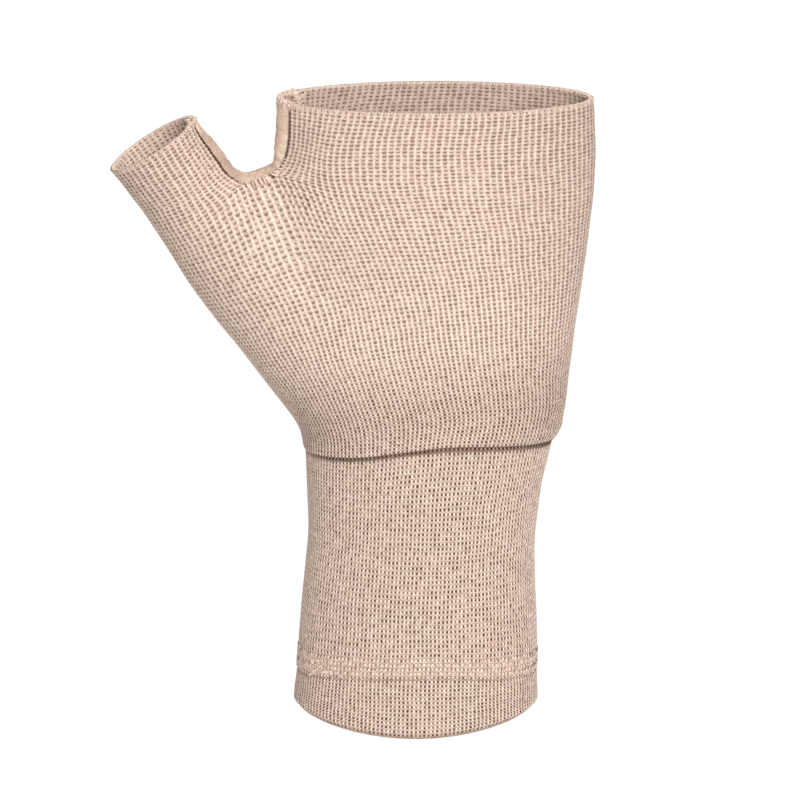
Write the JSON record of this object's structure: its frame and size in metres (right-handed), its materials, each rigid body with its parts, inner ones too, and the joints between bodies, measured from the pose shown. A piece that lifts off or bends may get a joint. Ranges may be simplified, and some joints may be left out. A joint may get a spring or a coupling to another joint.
{
  "type": "wrist and thumb support sleeve",
  "caption": "Elastic knitted sleeve for the wrist, palm and thumb root, with a hemmed forearm cuff, a lapped wrist seam and a soft strip sewn round the notch beside the thumb.",
  "frame": {"origin": "centre of the forearm opening, at the level of the lowest point of its rim", "axes": "+Z from the forearm opening to the fingers, +X to the little-finger side, +Y through the hand from the side that faces the viewer to the other side"},
  "size_m": [0.1321, 0.0484, 0.1762],
  "materials": {
    "knit": "beige elastic knit with an open ladder texture on the hand and small tight loops on the wrist, matte",
    "strip": "light beige fine plain knit tape, soft matte",
    "thread": "beige textured polyester sewing thread, matte"
  },
  "bodies": {
    "forearm": {"wrist_tube_cuff": "knit", "wrist_tube_lower_flex": "knit", "hem_band": "knit", "hem_lower_stitch": "thread", "hem_upper_stitch": "thread", "hem_looper_thread": "thread", "hem_tack": "thread"},
    "wrist": {"wrist_tube_middle": "knit", "wrist_tube_upper_flex": "knit"},
    "hand": {"wrist_tube_top": "knit", "lap_seam_thread": "thread", "hand_sleeve": "knit", "hand_opening_edge": "thread", "web_gusset": "strip", "gusset_front_seam": "thread", "gusset_back_seam": "thread", "hand_front_knot": "thread", "hand_back_knot": "thread", "thumb_sleeve_flex": "knit"},
    "thumb": {"thumb_sleeve": "knit", "thumb_opening_edge": "thread", "thumb_front_knot": "thread", "thumb_back_knot": "thread"}
  },
  "joints": [
    {"name": "wrist_deviation", "type": "hinge", "parent": "forearm", "child": "wrist", "pos_m": [0.001, 0, 0.036], "axis": [0, 1, 0], "range_deg": [-15, 25], "stiffness_Nm_per_rad": 0.2, "deforming": ["wrist_tube_lower_flex"]},
    {"name": "wrist_flexion", "type": "hinge", "parent": "wrist", "child": "hand", "pos_m": [0.0018, 0, 0.061], "axis": [1, 0, 0], "range_deg": [-35, 35], "stiffness_Nm_per_rad": 0.2, "deforming": ["wrist_tube_upper_flex"]},
    {"name": "thumb_flexion", "type": "hinge", "parent": "hand", "child": "thumb", "pos_m": [-0.064, 0, 0.1535], "axis": [0, 1, 0], "range_deg": [-15, 20], "stiffness_Nm_per_rad": 0.01, "deforming": ["thumb_sleeve_flex", "web_gusset", "gusset_front_seam", "gusset_back_seam"]}
  ]
}
